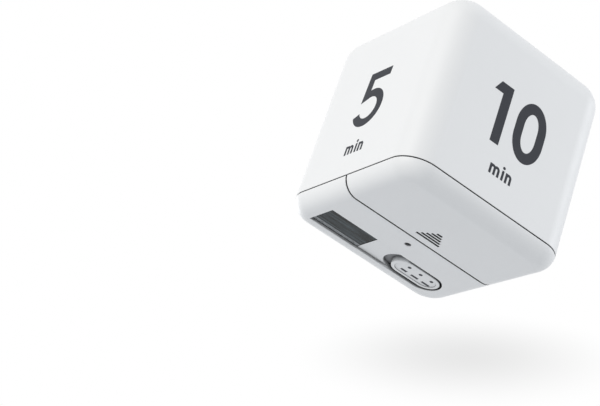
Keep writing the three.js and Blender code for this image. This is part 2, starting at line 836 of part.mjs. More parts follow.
timer.add(piece('main_board', mainBoard(), boardGreen));
timer.add(piece('clock_chip', clockChip(), blackPlastic, [chipX, chipY, boardTop]));
const crystalRise = (crystalDiameter / 2) * Math.cos(Math.PI / smallRoundSteps);
const crystalPlace = [crystalX, crystalY, boardTop + crystalRise];
const crystalSolid = layDown(clockCrystal(), smallRoundSteps);
timer.add(piece('clock_crystal', crystalSolid, nickel, crystalPlace, [quarterTurn, 0, 0]));
timer.add(piece('buzzer', buzzer(), blackPlastic, [buzzerX, buzzerY, 0]));

timer.add(piece('switch_body', switchBody(), nickel, [stripCentre, sliderRest - switchTravel / 2, 0]));
timer.add(piece('switch_lever', switchLever(), blackPlastic, [stripCentre, sliderRest, 0]));
timer.add(piece('switch_slider', switchSlider(), whiteShell, [stripCentre, sliderRest, 0]));

const canRise = (canDiameter / 2) * Math.cos(Math.PI / roundSteps);
const ballStart = canWall + ballEndGap + ballDiameter / 2;
for (const [place, label] of [[0, 'a'], [1, 'b']]) {
  const holder = new THREE.Group();
  const [shareX, shareY] = tiltPlaceShares[place];
  holder.position.set(shareX * bodyHalf, shareY * bodyHalf, boardTop + canRise);
  holder.rotation.set(0, 0, tiltTurns[place]);
  const lying = new THREE.Group();
  lying.rotation.set(0, quarterTurn, 0);
  lying.add(piece(`tilt_can_${label}`, tiltCan(), nickel));
  lying.add(piece(`tilt_cap_${label}`, tiltCap(), blackPlastic));
  lying.add(piece(`tilt_ball_${label}`, tiltBall(), nickel, [0, 0, ballStart]));
  holder.add(lying);
  timer.add(holder);
}

const cellFoot = nubEnd - cellLength;
timer.add(piece('cell_a', cell(), cellSleeve, [cellAX, cellFoot, cellAxis], [-quarterTurn, 0, 0]));
timer.add(piece('cell_b', cell(), cellSleeve, [cellBX, -cellFoot, cellAxis], [quarterTurn, 0, 0]));

const plus = contactPlate([0]).add(dimple(0)).add(tail(0));
timer.add(piece('contact_plus', plus, nickel, [cellAX, bayHalf, cellAxis]));
const minus = contactPlate([0]).add(spring(0)).add(tail(0));
timer.add(piece('contact_minus', minus, nickel, [cellBX, bayHalf, cellAxis]));
const pitch = cellBX - cellAX;
const bridge = contactPlate([0, pitch]).add(dimple(0)).add(spring(pitch));
timer.add(piece('contact_bridge', bridge, nickel, [cellBX, -bayHalf, cellAxis], [0, 0, Math.PI]));

const plusLanding = postY - postDiameter;
const minusLanding = plusLanding - 2 * leadDiameter;
timer.add(piece('lead_plus', lead(leadRoute(cellAX, 1, plusLanding)), redWire));
timer.add(piece('lead_minus', lead(leadRoute(cellBX, 2, minusLanding)), blackWire));

for (const [label, side] of [['a', -1], ['b', 1]]) {
  const housingPlace = [screwX, side * screwY, roofUnder];
  const housingScrew = panScrew(housingScrewLength);
  timer.add(piece(`housing_screw_${label}`, housingScrew, nickel, housingPlace, [Math.PI, 0, 0]));
  const boardPlace = [postX, side * postY, boardTop];
  timer.add(piece(`board_screw_${label}`, panScrew(boardScrewLength), nickel, boardPlace));
}

export default timer;
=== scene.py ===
# Cube timer: numbered faces, and an underside with display, slide switch and battery door.
# Metres, +Z up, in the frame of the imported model.
import json
import math

import bmesh
import bpy
from mathutils import Matrix, Vector


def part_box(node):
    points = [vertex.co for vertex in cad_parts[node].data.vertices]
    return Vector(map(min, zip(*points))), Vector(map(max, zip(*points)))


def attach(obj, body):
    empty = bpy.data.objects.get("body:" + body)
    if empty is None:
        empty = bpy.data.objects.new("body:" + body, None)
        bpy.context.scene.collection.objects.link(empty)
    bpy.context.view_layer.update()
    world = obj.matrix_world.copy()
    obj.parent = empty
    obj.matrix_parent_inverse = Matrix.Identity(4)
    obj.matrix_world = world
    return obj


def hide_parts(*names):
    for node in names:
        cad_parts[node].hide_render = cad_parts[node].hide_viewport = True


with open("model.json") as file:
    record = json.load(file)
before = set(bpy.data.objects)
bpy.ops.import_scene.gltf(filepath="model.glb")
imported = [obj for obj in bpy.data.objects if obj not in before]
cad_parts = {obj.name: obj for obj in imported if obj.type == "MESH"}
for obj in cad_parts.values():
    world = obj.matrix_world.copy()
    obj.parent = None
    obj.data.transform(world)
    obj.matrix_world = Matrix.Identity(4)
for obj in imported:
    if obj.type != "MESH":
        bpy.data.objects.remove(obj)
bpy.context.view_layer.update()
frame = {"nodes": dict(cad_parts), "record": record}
NODES = frame["nodes"]

# Places read from the frame
HOUSING_LOW, HOUSING_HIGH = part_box("upper_housing")
DOOR_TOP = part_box("battery_door")[1].z
PANE_LOW, PANE_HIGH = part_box("display_window")
SLIDER_LOW, SLIDER_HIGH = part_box("switch_slider")
BODY_HALF = HOUSING_HIGH.x
BODY_HEIGHT = HOUSING_HIGH.z
SHELL_FOOT = HOUSING_LOW.z
TINY = 1e-6

# Body
SIDE_RADIUS = 0.0087
TOP_RADIUS = 0.0083
BASE_RADIUS = 0.0055
SHELL_WALL = 0.0022
TRAY_WALL = 0.0020
DOOR_WALL = 0.0018
TRAY_EDGE = 0.00034
DOOR_EDGE = 0.00099
PARTITION_WALL = 0.0013
FIT_GAP = 0.0003
OVERRUN = 0.001
RIM = 0.00015
RIM_SHARES = ((0.3, 0.7), (0.7, 0.3))

# Fineness of the curves, and angles that tell edges and faces apart
CORNER_STEPS = 14
FILLET_STEPS = 12
ROUND_STEPS = 64
HOLE_STEPS = 32
DOT_STEPS = 24
CAP_STEPS = 4
CARRIER_STEPS = 8
CELL_STEPS = 56
ARCH_STEPS = 16
SHARP_ANGLE = math.radians(32)
FLAT_ANGLE = math.radians(1)
SKIN_LIMIT = math.cos(math.radians(12))

# Sunk channel in the underside
CHANNEL_WIDTH = 0.0114
CHANNEL_DEPTH = PANE_LOW.z
CHANNEL_X = (PANE_LOW.x + PANE_HIGH.x) / 2
WINDOW_LEDGE = (0.0012, 0.0006)
WINDOW_LIP = 0.0008
MARGIN_WIDTH = 0.0014
SLOT_GAP = 0.0005
SLOT_SIDE_GAP = 0.0014
SLOT_END = 0.0228
SLOT_LENGTH = 0.0208
SWITCH_TRAVEL = 0.0025
SOUND_HOLE = 0.002
SOUND_HOLE_PLACE = (-0.0044, -0.0004)

# Cells, as radius and height over the flat end
CELL_BAND = 0.0335
CELL_SLEEVE = (
    (0, 0.00022),
    (0.0043, 0.00022),
    (0.00485, 0.00012),
    (0.00508, 0.00030),
    (0.00515, 0.00060),
    (0.00515, CELL_BAND),
    (0, CELL_BAND),
)
CELL_COLLAR = (
    (0, CELL_BAND),
    (0.00515, CELL_BAND),
    (0.00515, 0.0429),
    (0.00508, 0.0432),
    (0.00485, 0.04342),
    (0.0043, 0.0433),
    (0, 0.0433),
)
CELL_FOOT = ((0, 0), (0.0035, 0), (0.0037, 0.00006), (0.0038, 0.00030), (0, 0.00030))
CELL_TIP = (
    (0, 0.0432),
    (0.0039, 0.0432),
    (0.0039, 0.04338),
    (0.0024, 0.04338),
    (0.0020, 0.04348),
    (0.0019, 0.04370),
    (0.0019, 0.0443),
    (0.00182, 0.04444),
    (0.00165, 0.0445),
    (0, 0.0445),
)

# Door
TONGUE_WIDTH = 0.008
TONGUE_THICKNESS = 0.0008
TONGUE_REACH = 0.0026
TONGUE_Y = 0.014
RIB_X = 0.0146
RIB_LENGTH = 0.012
RIB_Z = (0.0036, 0.0045)
RIB_Y = 0.0264
GRIP_LINES = 5
GRIP_FIRST = 0.0042
GRIP_PITCH = 0.00134
GRIP_LONGEST = 0.0088
GRIP_SHORTEST = 0.0020
GRIP_WIDTH = 0.00084
GRIP_DEPTH = 0.0010
GRIP_RIM = 0.00005

# Slider
SLIDER_RECESS = SLIDER_LOW.z
CARRIER_LOW = 0.0020
CARRIER_CORNER = 0.003
CAP_SINK = 0.0003
CAP_RIM = 0.0009
CAP_ROUNDING = 0.0003
DISH_DEPTH = 0.00025
MARK_X = -0.0158
MARK_YS = (0.0099, 0.0144, 0.0188)
MARK_SIZE = 0.0012
BAR_X = -0.0189
BAR_YS = ((0.0102, 0.0023), (0.0145, 0.0028), (0.0189, 0.0030))
BAR_WIDTH = 0.0009

# Print: thickness in metres, the rest in millimetres across each face and up from the underside
MM = 0.001
PRINT_RISE = 0.00003
PRINT_SINK = 0.00006
CUTTER_STRETCH = 3
WEDGE_REACH = 12
ZERO_SIZE = (5.6, 8.05, 1.75)
ZERO_HOLE = (2.6, 4.65, 1.75)
ZERO_Z = 32.0
ZERO_ACROSS = {"10": 5.22, "30": 5.45, "60": 5.35}
ONE_OUTLINE = ((-4.0, 22.45), (-4.0, 41.5), (-8.65, 41.5), (-10.55, 38.15), (-7.25, 38.15), (-7.25, 22.45))
FIVE_CENTRE = (-0.42, 28.5)
FIVE_BOWL = ((6.55, 6.6), (3.7, 3.78))
FIVE_OPENING = (110, 201)
FIVE_STEM = (
    (-4.38, 41.5),
    (-1.6, 41.5),
    (-1.93, 34.65),
    (-1.36, 33.05),
    (-1.69, 32.05),
    (-3.26, 31.53),
    (-4.98, 31.05),
)
FIVE_FLAG = ((-4.38, 41.5), (-4.54, 38.65), (5.4, 38.65), (5.55, 41.5))
THREE_LOW = (-5.55, 28.15)
THREE_LOW_BOWL = ((4.9, 5.75), (2.1, 2.95))
THREE_LOW_OPENING = (96, 200)
THREE_HIGH = (-5.55, 36.55)
THREE_HIGH_BOWL = ((4.35, 5.0), (1.55, 2.2))
THREE_HIGH_OPENING = (160, 264)
THREE_NUB = ((-7.1, 31.15), (-5.7, 31.08), (-5.0, 31.3), (-5.0, 34.2), (-5.65, 34.36), (-7.1, 34.3))
SIX_CENTRE = (-6.05, 28.15)
SIX_BOWL = ((5.2, 5.75), (2.2, 2.75))
SIX_STEM = ((-8.3, 41.7), (-5.0, 41.2), (-6.7, 33.6), (-8.2, 30.4), (-11.2, 29.0), (-10.6, 32.3))
UNIT_CORNERS = {"5": (-4.53, 12.72), "10": (-4.59, 13.45), "30": (-4.2, 13.6), "60": (-4.5, 13.6)}
UNIT_X_HEIGHT = 3.1
UNIT_STROKE = 0.79
UNIT_LAP = 0.02
UNIT_ARCH = 1.14
UNIT_GAP = 0.8
UNIT_I_TO_N = 1.45
UNIT_DOT = 0.46
UNIT_DOT_RISE = 0.86

# Camera, fitted to the photograph
CAMERA_PLACE = (0.35469, -0.22663, -0.21115)
CAMERA_RIGHT = (0.57222, 0.76133, 0.30487)
CAMERA_UP = (0.21428, -0.49763, 0.84050)
CAMERA_LENS = 98.15
SENSOR = 36

# Grain of the surfaces, and shade painted into their colour in creases and gaps
GRAIN_DEPTH = 0.00002
GRAIN_DETAIL = 3
MOTTLE_DETAIL = 4
MOTTLE_MIDDLE = 0.5
MOTTLE_RANGE = (0.3, 0.7)
PAINTED_SHADE_REACH = 0.0020
PAINTED_SHADE_RANGE = (0.4, 0.92)
PAINTED_SHADE_TONE = 0.04
PAINTED_SHADE_SAMPLES = 12

# Stage and light
PLAIN_WHITE = (1, 1, 1, 1)
FLOOR_HALF_WIDTH = 4
FLOOR_DROP = 0.0002
FLOOR_COLOUR = (0.95, 0.95, 0.95, 1)
FLOOR_FADE = (0.2, 0.9)
SHADE_CENTRE = (0.0304, 0.0050, -0.0392)
SHADE_NORMAL = (0.3675, -0.5704, 0.7346)
SHADE_RADIUS = 0.047
SHADE_DEPTH = 0.19
WORLD_LEVEL = 0.646
WORLD_TINT = (0.974, 1.0, 1.02, 1)
LAMP_SIZE = 0.6
LAMPS = {
    "key": ((0.23, -1.07, 0.22), 5.0, (1.0, 0.96, 0.89)),
    "back": ((0.5, 0.93, 0.6), 4.0, (1, 1, 1)),
    "side": ((-1.12, -0.1, 0.0), 3.6, (1, 1, 1)),
}


def make_camera():
    right = Vector(CAMERA_RIGHT)
    up = Vector(CAMERA_UP)
    back = right.cross(up)
    data = bpy.data.cameras.new("camera")
    data.lens = CAMERA_LENS
    data.sensor_width = SENSOR
    camera = bpy.data.objects.new("camera", data)
    bpy.context.scene.collection.objects.link(camera)
    turn = Matrix((right, up, back)).transposed().to_4x4()
    camera.matrix_world = Matrix.Translation(CAMERA_PLACE) @ turn
    bpy.context.scene.camera = camera


# Mesh helpers
def new_object(name, bm):
    mesh = bpy.data.meshes.new(name)
    bm.to_mesh(mesh)
    bm.free()
    made = bpy.data.objects.new(name, mesh)
    bpy.context.scene.collection.objects.link(made)
    return made


def copy_of(mesh):
    bm = bmesh.new()
    bm.from_mesh(mesh)
    return bm


def bake(piece):
    """Applies the modifiers of a piece to its mesh"""
    bpy.context.view_layer.update()
    graph = bpy.context.evaluated_depsgraph_get()
    mesh = bpy.data.meshes.new_from_object(piece.evaluated_get(graph))
    piece.modifiers.clear()
    old = piece.data
    piece.data = mesh
    bpy.data.meshes.remove(old)


def combine(piece, other, operation):
    """Joins or cuts a piece with another one, which is used up"""
    step = piece.modifiers.new(operation.lower(), "BOOLEAN")
    step.operation = operation
    step.solver = "EXACT"
    step.object = other
    bake(piece)
    mesh = other.data
    bpy.data.objects.remove(other)
    bpy.data.meshes.remove(mesh)
    return piece


def cut(piece, other):
    return combine(piece, other, "DIFFERENCE")


def add(piece, other):
    return combine(piece, other, "UNION")


def round_edges(bm, edges, radius, steps):
    bmesh.ops.bevel(
        bm,
        geom=edges,
        offset=radius,
        offset_type="OFFSET",
        affect="EDGES",
        segments=steps,
        profile=0.5,
        material=-1,
        clamp_overlap=False,
    )


def edges_at(bm, height):
    return [e for e in bm.edges if all(abs(v.co.z - height) < TINY for v in e.verts)]


def upright_edges(bm):
    return [e for e in bm.edges if abs(e.verts[0].co.z - e.verts[1].co.z) > TINY]


def around(centre, width):
    return (centre - width / 2, centre + width / 2)


def box(x, y, z, name="box"):
    """A plain block between two values on each axis"""
    bm = bmesh.new()
    bmesh.ops.create_cube(bm, size=1)
    bmesh.ops.scale(bm, vec=(x[1] - x[0], y[1] - y[0], z[1] - z[0]), verts=bm.verts)
    centre = ((x[0] + x[1]) / 2, (y[0] + y[1]) / 2, (z[0] + z[1]) / 2)
    bmesh.ops.translate(bm, vec=centre, verts=bm.verts)
    return new_object(name, bm)


def body_block(name, inset, foot=None, base_radius=BASE_RADIUS):
    """The body's outer form, moved inward by inset"""
    foot = inset if foot is None else foot
    top = BODY_HEIGHT - inset
    width = 2 * (BODY_HALF - inset)
    bm = bmesh.new()
    bmesh.ops.create_cube(bm, size=1)
    bmesh.ops.scale(bm, vec=(width, width, top - foot), verts=bm.verts)
    bmesh.ops.translate(bm, vec=(0, 0, (top + foot) / 2), verts=bm.verts)
    round_edges(bm, upright_edges(bm), SIDE_RADIUS - inset, CORNER_STEPS)
    round_edges(bm, edges_at(bm, top), TOP_RADIUS - inset, FILLET_STEPS)
    if base_radius > inset:
        round_edges(bm, edges_at(bm, foot), base_radius - inset, FILLET_STEPS)
    return new_object(name, bm)


def trim(piece, point, normal, rim=0):
    """Cuts off what lies on the normal's side of a plane and closes the cut, with a soft rim"""
    bm = copy_of(piece.data)
    geometry = bm.verts[:] + bm.edges[:] + bm.faces[:]
    place = Vector(point) - Vector(normal) * rim
    done = bmesh.ops.bisect_plane(bm, geom=geometry, plane_co=place, plane_no=normal, clear_outer=True)
    edges = [e for e in done["geom_cut"] if isinstance(e, bmesh.types.BMEdge)]
    caps = bmesh.ops.holes_fill(bm, edges=edges, sides=0)["faces"]
    if rim:
        bmesh.ops.recalc_face_normals(bm, faces=bm.faces)
        for inward, outward in RIM_SHARES:
            bmesh.ops.inset_region(
                bm,
                faces=caps,
                thickness=rim * inward,
                depth=rim * outward,
                use_even_offset=True,
            )
    bm.to_mesh(piece.data)
    bm.free()
    return piece


def flat_oblong(bm, width, length):
    """A flat oblong, scaled from a unit square"""
    bmesh.ops.create_grid(bm, x_segments=1, y_segments=1, size=0.5)
    bmesh.ops.scale(bm, vec=(width, length, 1), verts=bm.verts)


def flat_round(bm, radius, steps):
    """A flat disk with no point on the X axis, so that it can be drawn out along Y"""
    bmesh.ops.create_circle(bm, cap_ends=True, segments=steps, radius=radius)
    bmesh.ops.rotate(bm, matrix=Matrix.Rotation(math.pi / steps, 3, "Z"), verts=bm.verts)


def draw_out(bm, distance):
    """Moves the two halves of a flat outline apart along Y"""
    for vert in bm.verts:
        vert.co.y += math.copysign(distance, vert.co.y)


def raise_outline(bm, low, high):
    """Turns the flat faces of a bmesh at z = 0 into a solid from low to high"""
    bmesh.ops.translate(bm, vec=(0, 0, low), verts=bm.verts)
    grown = bmesh.ops.extrude_face_region(bm, geom=bm.faces[:])
    top = [v for v in grown["geom"] if isinstance(v, bmesh.types.BMVert)]
    bmesh.ops.translate(bm, vec=(0, 0, high - low), verts=top)
    bmesh.ops.recalc_face_normals(bm, faces=bm.faces)


def stadium(name, width, length, centre, low, high, rounding=0, steps=ROUND_STEPS):
    """A round-ended slab along Y, with its lower rim rounded"""
    bm = bmesh.new()
    flat_round(bm, width / 2, steps)
    draw_out(bm, (length - width) / 2)
    bmesh.ops.translate(bm, vec=(*centre, 0), verts=bm.verts)
    raise_outline(bm, low, high)
    if rounding:
        round_edges(bm, edges_at(bm, low), rounding, CAP_STEPS)
    return new_object(name, bm)


def well(name, width, length, centre, depth, rim=RIM, steps=ROUND_STEPS, square=False):
    """A cutter from below to depth, whose mouth widens at z = 0 so that the cut has a soft rim"""
    bm = bmesh.new()
    if square:
        flat_oblong(bm, width, length)
    else:
        flat_round(bm, width / 2, steps)
        draw_out(bm, (length - width) / 2)
    raise_outline(bm, rim, depth)
    foot = [f for f in bm.faces if all(abs(v.co.z - rim) < TINY for v in f.verts)]
    grown = bmesh.ops.extrude_discrete_faces(bm, faces=foot)["faces"]
    mouth = list({v for face in grown for v in face.verts})
    widen = 1 + 2 * (rim + OVERRUN) / width
    lengthen = 1 + 2 * (rim + OVERRUN) / length
    bmesh.ops.scale(bm, vec=(widen, lengthen, 1), verts=mouth)
    bmesh.ops.translate(bm, vec=(0, 0, -rim - OVERRUN), verts=mouth)
    bmesh.ops.translate(bm, vec=(*centre, 0), verts=bm.verts)
    bmesh.ops.recalc_face_normals(bm, faces=bm.faces)
    return new_object(name, bm)


def overhang(value):
    return math.copysign(max(0, abs(value) - BODY_HALF + SIDE_RADIUS), value)


def skin_normal(point):
    """The outward direction of the body's rounded form at a point on it"""
    side = Vector((overhang(point.x), overhang(point.y), 0))
    rise = 0
    if point.z < BASE_RADIUS:
        rise = point.z / BASE_RADIUS - 1
    elif point.z > BODY_HEIGHT - TOP_RADIUS:
        rise = 1 - (BODY_HEIGHT - point.z) / TOP_RADIUS
    rise = max(-1, min(1, rise))
    if side.length < TINY:
        return Vector((0, 0, math.copysign(1, rise)))
    return side.normalized() * math.sqrt(1 - rise * rise) + Vector((0, 0, rise))


def true_skin(mesh):
    """Shades the faces that lie on the body's rounded form with that form's own normals"""
    normals = [corner.vector.copy() for corner in mesh.corner_normals]
    for face in mesh.polygons:
        for loop in face.loop_indices:
            normal = skin_normal(mesh.vertices[mesh.loops[loop].vertex_index].co)
            if normal.dot(face.normal) > SKIN_LIMIT:
                normals[loop] = normal
    mesh.normals_split_custom_set(normals)


def finish_piece(piece, body, material, skin=False):
    """Shades the curves smooth, gives the material and hangs the piece on its body"""
    mesh = piece.data
    mesh.materials.clear()
    mesh.materials.append(material)
    mesh.polygons.foreach_set("use_smooth", [True] * len(mesh.polygons))
    mesh.polygons.foreach_set("material_index", [0] * len(mesh.polygons))
    mesh.set_sharp_from_angle(angle=SHARP_ANGLE)
    if skin:
        true_skin(mesh)
    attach(piece, body)


# Node helpers
def node(tree, kind, sockets=None, **settings):
    """A new node with its settings, and with constants on its input sockets"""
    made = tree.nodes.new(kind)
    for key, value in settings.items():
        setattr(made, key, value)
    for key, value in (sockets or {}).items():
        made.inputs[key].default_value = value
    return made


def wire(tree, *runs):
    """Links sockets: each run is a node, its output, the next node and its input"""
    for source, output, target, entry in runs:
        tree.links.new(source.outputs[output], target.inputs[entry])


def map_range(tree, start, end, kind="LINEAR"):
    """A node that turns the range start into the range end"""
    sockets = {"From Min": start[0], "From Max": start[1], "To Min": end[0], "To Max": end[1]}
    return node(tree, "ShaderNodeMapRange", sockets, interpolation_type=kind)


def cleared_tree(owner):
    """The emptied node tree of a new material or world"""
    owner.use_nodes = True
    owner.node_tree.nodes.clear()
    return owner.node_tree


def new_group(name, entries, results):
    """A shader node group with named sockets, and the nodes at its two ends"""
    tree = bpy.data.node_groups.new(name, "ShaderNodeTree")
    for way, sockets in (("INPUT", entries), ("OUTPUT", results)):
        for label, kind in sockets.items():
            tree.interface.new_socket(label, in_out=way, socket_type=kind)
    return tree, node(tree, "NodeGroupInput"), node(tree, "NodeGroupOutput")


# Materials
def grain_group():
    """Fine moulding grain as a height for bump, and a slow mottle for colour and roughness"""
    number = "NodeSocketFloat"
    entries = {"Vector": "NodeSocketVector", "Grain Scale": number, "Mottle Scale": number}
    tree, start, end = new_group("moulding_grain", entries, {"Height": number, "Mottle": number})
    fine = node(tree, "ShaderNodeTexNoise", {"Detail": GRAIN_DETAIL}, noise_dimensions="3D")
    slow = node(tree, "ShaderNodeTexNoise", {"Detail": MOTTLE_DETAIL}, noise_dimensions="3D")
    wire(
        tree,
        (start, "Vector", fine, "Vector"),
        (start, "Vector", slow, "Vector"),
        (start, "Grain Scale", fine, "Scale"),
        (start, "Mottle Scale", slow, "Scale"),
        (fine, "Fac", end, "Height"),
        (slow, "Fac", end, "Mottle"),
    )
    return tree


def painted_crease_group():
    """Painted shade: darkens a colour where near parts hide the surface, in narrow gaps and creases"""
    colour = "NodeSocketColor"
    entries = {"Color": colour, "Reach": "NodeSocketFloat"}
    tree, start, end = new_group("painted_crease_shade", entries, {"Color": colour})
    shut = node(tree, "ShaderNodeAmbientOcclusion", samples=PAINTED_SHADE_SAMPLES)
    ramp = map_range(tree, PAINTED_SHADE_RANGE, (PAINTED_SHADE_TONE, 1))
    dull = node(tree, "ShaderNodeMix", {"Factor": 1}, data_type="RGBA", blend_type="MULTIPLY")
    wire(
        tree,
        (start, "Reach", shut, "Distance"),
        (shut, "AO", ramp, "Value"),
        (start, "Color", dull, "A"),
        (ramp, "Result", dull, "B"),
        (dull, "Result", end, "Color"),
    )
    return tree


GRAIN = grain_group()
PAINTED_CREASES = painted_crease_group()


def srgb(red, green, blue):
    """A colour written in levels of 255, as linear values"""

    def linear(value):
        value = value / 255
        return value / 12.92 if value <= 0.04045 else ((value + 0.055) / 1.055) ** 2.4

    return (linear(red), linear(green), linear(blue), 1)


def surface(
    name,
    colour,
    shift,
    roughness,
    metallic=0,
    grain=6000,
    mottle=90,
    bump=0.02,
    painted_shade_reach=0,
    specular=0.5,
    streak=1,
    spread=0.5,
):
    """A finish with grain bump, and with colour and roughness that drift, drawn out along Y"""
    made = bpy.data.materials.new(name)
    made.use_nodes = True
    tree = made.node_tree
    shader = tree.nodes["Principled BSDF"]
    shader.inputs["Metallic"].default_value = metallic
    shader.inputs["Specular IOR Level"].default_value = specular
    shifted = (*(min(1, channel * shift) for channel in colour[:3]), 1)
    place = node(tree, "ShaderNodeTexCoord")
    drawn = node(tree, "ShaderNodeMapping", {"Scale": (1, streak, 1)}, vector_type="POINT")
    scales = {"Grain Scale": grain, "Mottle Scale": mottle}
    pattern = node(tree, "ShaderNodeGroup", scales, node_tree=GRAIN)
    drift = map_range(tree, MOTTLE_RANGE, roughness)
    change = map_range(tree, (MOTTLE_MIDDLE - spread, MOTTLE_MIDDLE + spread), (0, 1))
    tint = node(tree, "ShaderNodeMix", {"A": colour, "B": shifted}, data_type="RGBA")
    height = node(tree, "ShaderNodeBump", {"Strength": bump, "Distance": GRAIN_DEPTH})
    wire(
        tree,
        (place, "Object", drawn, "Vector"),
        (drawn, "Vector", pattern, "Vector"),
        (pattern, "Mottle", drift, "Value"),
        (pattern, "Mottle", change, "Value"),
        (change, "Result", tint, "Factor"),
        (pattern, "Height", height, "Height"),
        (drift, "Result", shader, "Roughness"),
        (height, "Normal", shader, "Normal"),
    )
    # Painted shade: the base colour is darkened in creases and narrow gaps
    if painted_shade_reach:
        shade = node(tree, "ShaderNodeGroup", {"Reach": painted_shade_reach}, node_tree=PAINTED_CREASES)
        wire(tree, (tint, "Result", shade, "Color"), (shade, "Color", shader, "Base Color"))
    else:
        wire(tree, (tint, "Result", shader, "Base Color"))
    return made


WHITE = surface(
    "white_moulding",
    srgb(238, 239, 241),
    shift=0.985,
    roughness=(0.42, 0.5),
    bump=0.25,
    painted_shade_reach=PAINTED_SHADE_REACH,
)
# Grey of the slider carrier: a real part, whose dark tone is partly painted shade for the slot round the
# cap
CARRIER_SHADE_GREY = surface(
    "grey_moulding_painted_shade",
    srgb(150, 152, 155),
    shift=1.04,
    roughness=(0.5, 0.6),
    bump=0.2,
    painted_shade_reach=PAINTED_SHADE_REACH,
)
INK = surface(
    "grey_ink",
    srgb(61, 63, 69),
    shift=1.08,
    roughness=(0.5, 0.65),
    grain=3000,
    bump=0.15,
    specular=0.12,
)
PANE = surface(
    "window_plate",
    srgb(18, 22, 24),
    shift=9.4,
    roughness=(0.08, 0.14),
    mottle=1300,
    bump=0,
    specular=0.12,
    streak=0.07,
    spread=0.14,
)
DISPLAY = surface("display_glass", srgb(70, 74, 76), shift=1.05, roughness=(0.2, 0.3))
MARGIN_GREY = surface(
    "margin_grey",
    srgb(120, 123, 126),
    shift=1.8,
    roughness=(0.3, 0.4),
    mottle=2200,
    streak=0.4,
    spread=0.14,
)
BLACK = surface("black_moulding", srgb(30, 31, 33), shift=1.1, roughness=(0.45, 0.6), bump=0.2)
RUBBER = surface("grey_elastomer", srgb(143, 146, 150), shift=1.04, roughness=(0.75, 0.85), bump=0.2)
BOARD = surface("green_board", srgb(38, 102, 62), shift=1.1, roughness=(0.35, 0.5), bump=0.15)
NICKEL = surface(
    "nickel_plate",
    srgb(205, 206, 207),
    shift=0.94,
    roughness=(0.22, 0.36),
    metallic=1,
    grain=1500,
    bump=0.1,
)
SLEEVE = surface("cell_sleeve", srgb(56, 84, 134), shift=1.06, roughness=(0.28, 0.4), bump=0.05)
COLLAR = surface(
    "cell_collar",
    srgb(196, 199, 204),
    shift=1.04,
    roughness=(0.25, 0.38),
    metallic=0.6,
    bump=0.05,
)
RED_WIRE = surface("red_insulation", srgb(184, 40, 42), shift=1.05, roughness=(0.45, 0.6), bump=0.1)
BLACK_WIRE = surface("black_insulation", srgb(30, 31, 33), shift=1.1, roughness=(0.45, 0.6), bump=0.1)
SLOT_LOOKS = {
    "white_shell": WHITE,
    "clear_window": PANE,
    "display_glass": DISPLAY,
    "black_plastic": BLACK,
    "grey_rubber": RUBBER,
    "board_green": BOARD,
    "nickel": NICKEL,
    "cell_sleeve": SLEEVE,
    "red_wire": RED_WIRE,
    "black_wire": BLACK_WIRE,
}


def dress_cad_nodes():
    for row in frame["record"]["subparts"]:
        mesh = NODES[row["node"]].data
        mesh.materials.clear()
        mesh.materials.append(SLOT_LOOKS[row["material_slot"]])


# Shells
def inner_part(name, node_name, room):
    """What a packed moulding carries inside its outer wall, with its coplanar faces merged"""
    bm = copy_of(NODES[node_name].data)
    bmesh.ops.remove_doubles(bm, verts=bm.verts, dist=TINY)
    inner = combine(new_object(name, bm), room, "INTERSECT")
    bm = copy_of(inner.data)
    bmesh.ops.dissolve_limit(bm, angle_limit=FLAT_ANGLE, verts=bm.verts, edges=bm.edges)
    bm.to_mesh(inner.data)
    bm.free()
    finish_piece(inner, "housing", WHITE)
    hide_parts(node_name)


def make_housing():
    shell = body_block("housing_shell", 0)
    trim(shell, (0, 0, SHELL_FOOT), (0, 0, -1), RIM)
    cut(shell, body_block("hollow", SHELL_WALL, foot=-OVERRUN, base_radius=0))
    finish_piece(shell, "housing", WHITE, skin=True)
    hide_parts("upper_housing")
    inner_part("housing_bosses", "upper_housing", body_block("room", SHELL_WALL, foot=0, base_radius=0))


def cut_channel(tray):
    """The sunk channel, with the slot at its end, and the pocket and opening for the window"""
    sight_x = (PANE_LOW.x + WINDOW_LEDGE[0], PANE_HIGH.x - WINDOW_LEDGE[0])
    sight_y = (PANE_LOW.y + WINDOW_LEDGE[1], PANE_HIGH.y - WINDOW_LEDGE[1])
    pocket_y = (PANE_LOW.y - FIT_GAP, PANE_HIGH.y + FIT_GAP)
    pocket_z = (CHANNEL_DEPTH - PRINT_SINK, PANE_HIGH.z)
    slot_middle = SLOT_END - SLOT_LENGTH / 2
    start = pocket_y[0] + WINDOW_LIP
    middle = (CHANNEL_X, (start + slot_middle) / 2)
    past = TRAY_WALL + OVERRUN
    cut(tray, well("channel", CHANNEL_WIDTH, slot_middle - start, middle, CHANNEL_DEPTH, square=True))
    cut(tray, well("slot", CHANNEL_WIDTH, SLOT_LENGTH, (CHANNEL_X, slot_middle), past))
    cut(tray, box(around(CHANNEL_X, CHANNEL_WIDTH), pocket_y, pocket_z))
    cut(tray, box(sight_x, sight_y, (0, past)))
    cut(tray, well("sound_hole", SOUND_HOLE, SOUND_HOLE, SOUND_HOLE_PLACE, past, steps=HOLE_STEPS))


